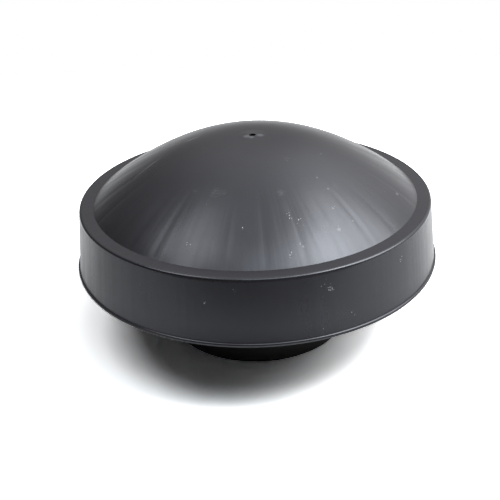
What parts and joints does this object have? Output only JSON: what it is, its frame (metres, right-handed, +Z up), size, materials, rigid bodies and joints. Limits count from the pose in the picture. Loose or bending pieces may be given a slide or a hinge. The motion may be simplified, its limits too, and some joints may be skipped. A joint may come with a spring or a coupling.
{
  "type": "vent rain cap",
  "caption": "Round domed rain cap with a flared skirt over a vaned neck, and a slotted collar with a worm-drive clamp that slips over a vent pipe.",
  "frame": {"origin": "centre of the collar's mouth, in the plane that the cap stands on", "axes": "+Z up along the pipe's axis, -Y towards the front of the picture, the clamp's screw on the +X side"},
  "size_m": [0.232, 0.232, 0.1291],
  "materials": {
    "hood_plastic": "satin",
    "neck_plastic": "satin",
    "gasket_rubber": "matte",
    "stainless": "brushed",
    "screw_steel": "bright"
  },
  "bodies": {
    "cap": {"hood_shell": "hood_plastic", "vanes": "hood_plastic", "vane_base_ring": "hood_plastic", "neck_collar": "neck_plastic", "pipe_seat_gasket": "gasket_rubber", "bird_screen_mesh": "stainless", "bird_screen_rim": "stainless", "flange_screws": "screw_steel", "flange_screw_washers": "screw_steel", "clamp_band": "stainless", "clamp_housing": "stainless"},
    "clamp_screw": {"clamp_worm_screw": "screw_steel"},
    "clamp_tail": {"clamp_band_tail": "stainless"}
  },
  "joints": [
    {"name": "clamp_screw_turn", "type": "hinge", "parent": "cap", "child": "clamp_screw", "pos_m": [0.06444, 0, 0.0195], "axis": [0, 1, 0], "range_deg": [0, 1440]},
    {"name": "clamp_band_slide", "type": "hinge", "parent": "cap", "child": "clamp_tail", "pos_m": [0, 0, 0.0195], "axis": [0, 0, 1], "range_deg": [0, 11.52]}
  ],
  "couplings": [
    {"joint": "clamp_band_slide", "follows": "clamp_screw_turn", "ratio": 0.0079977}
  ]
}
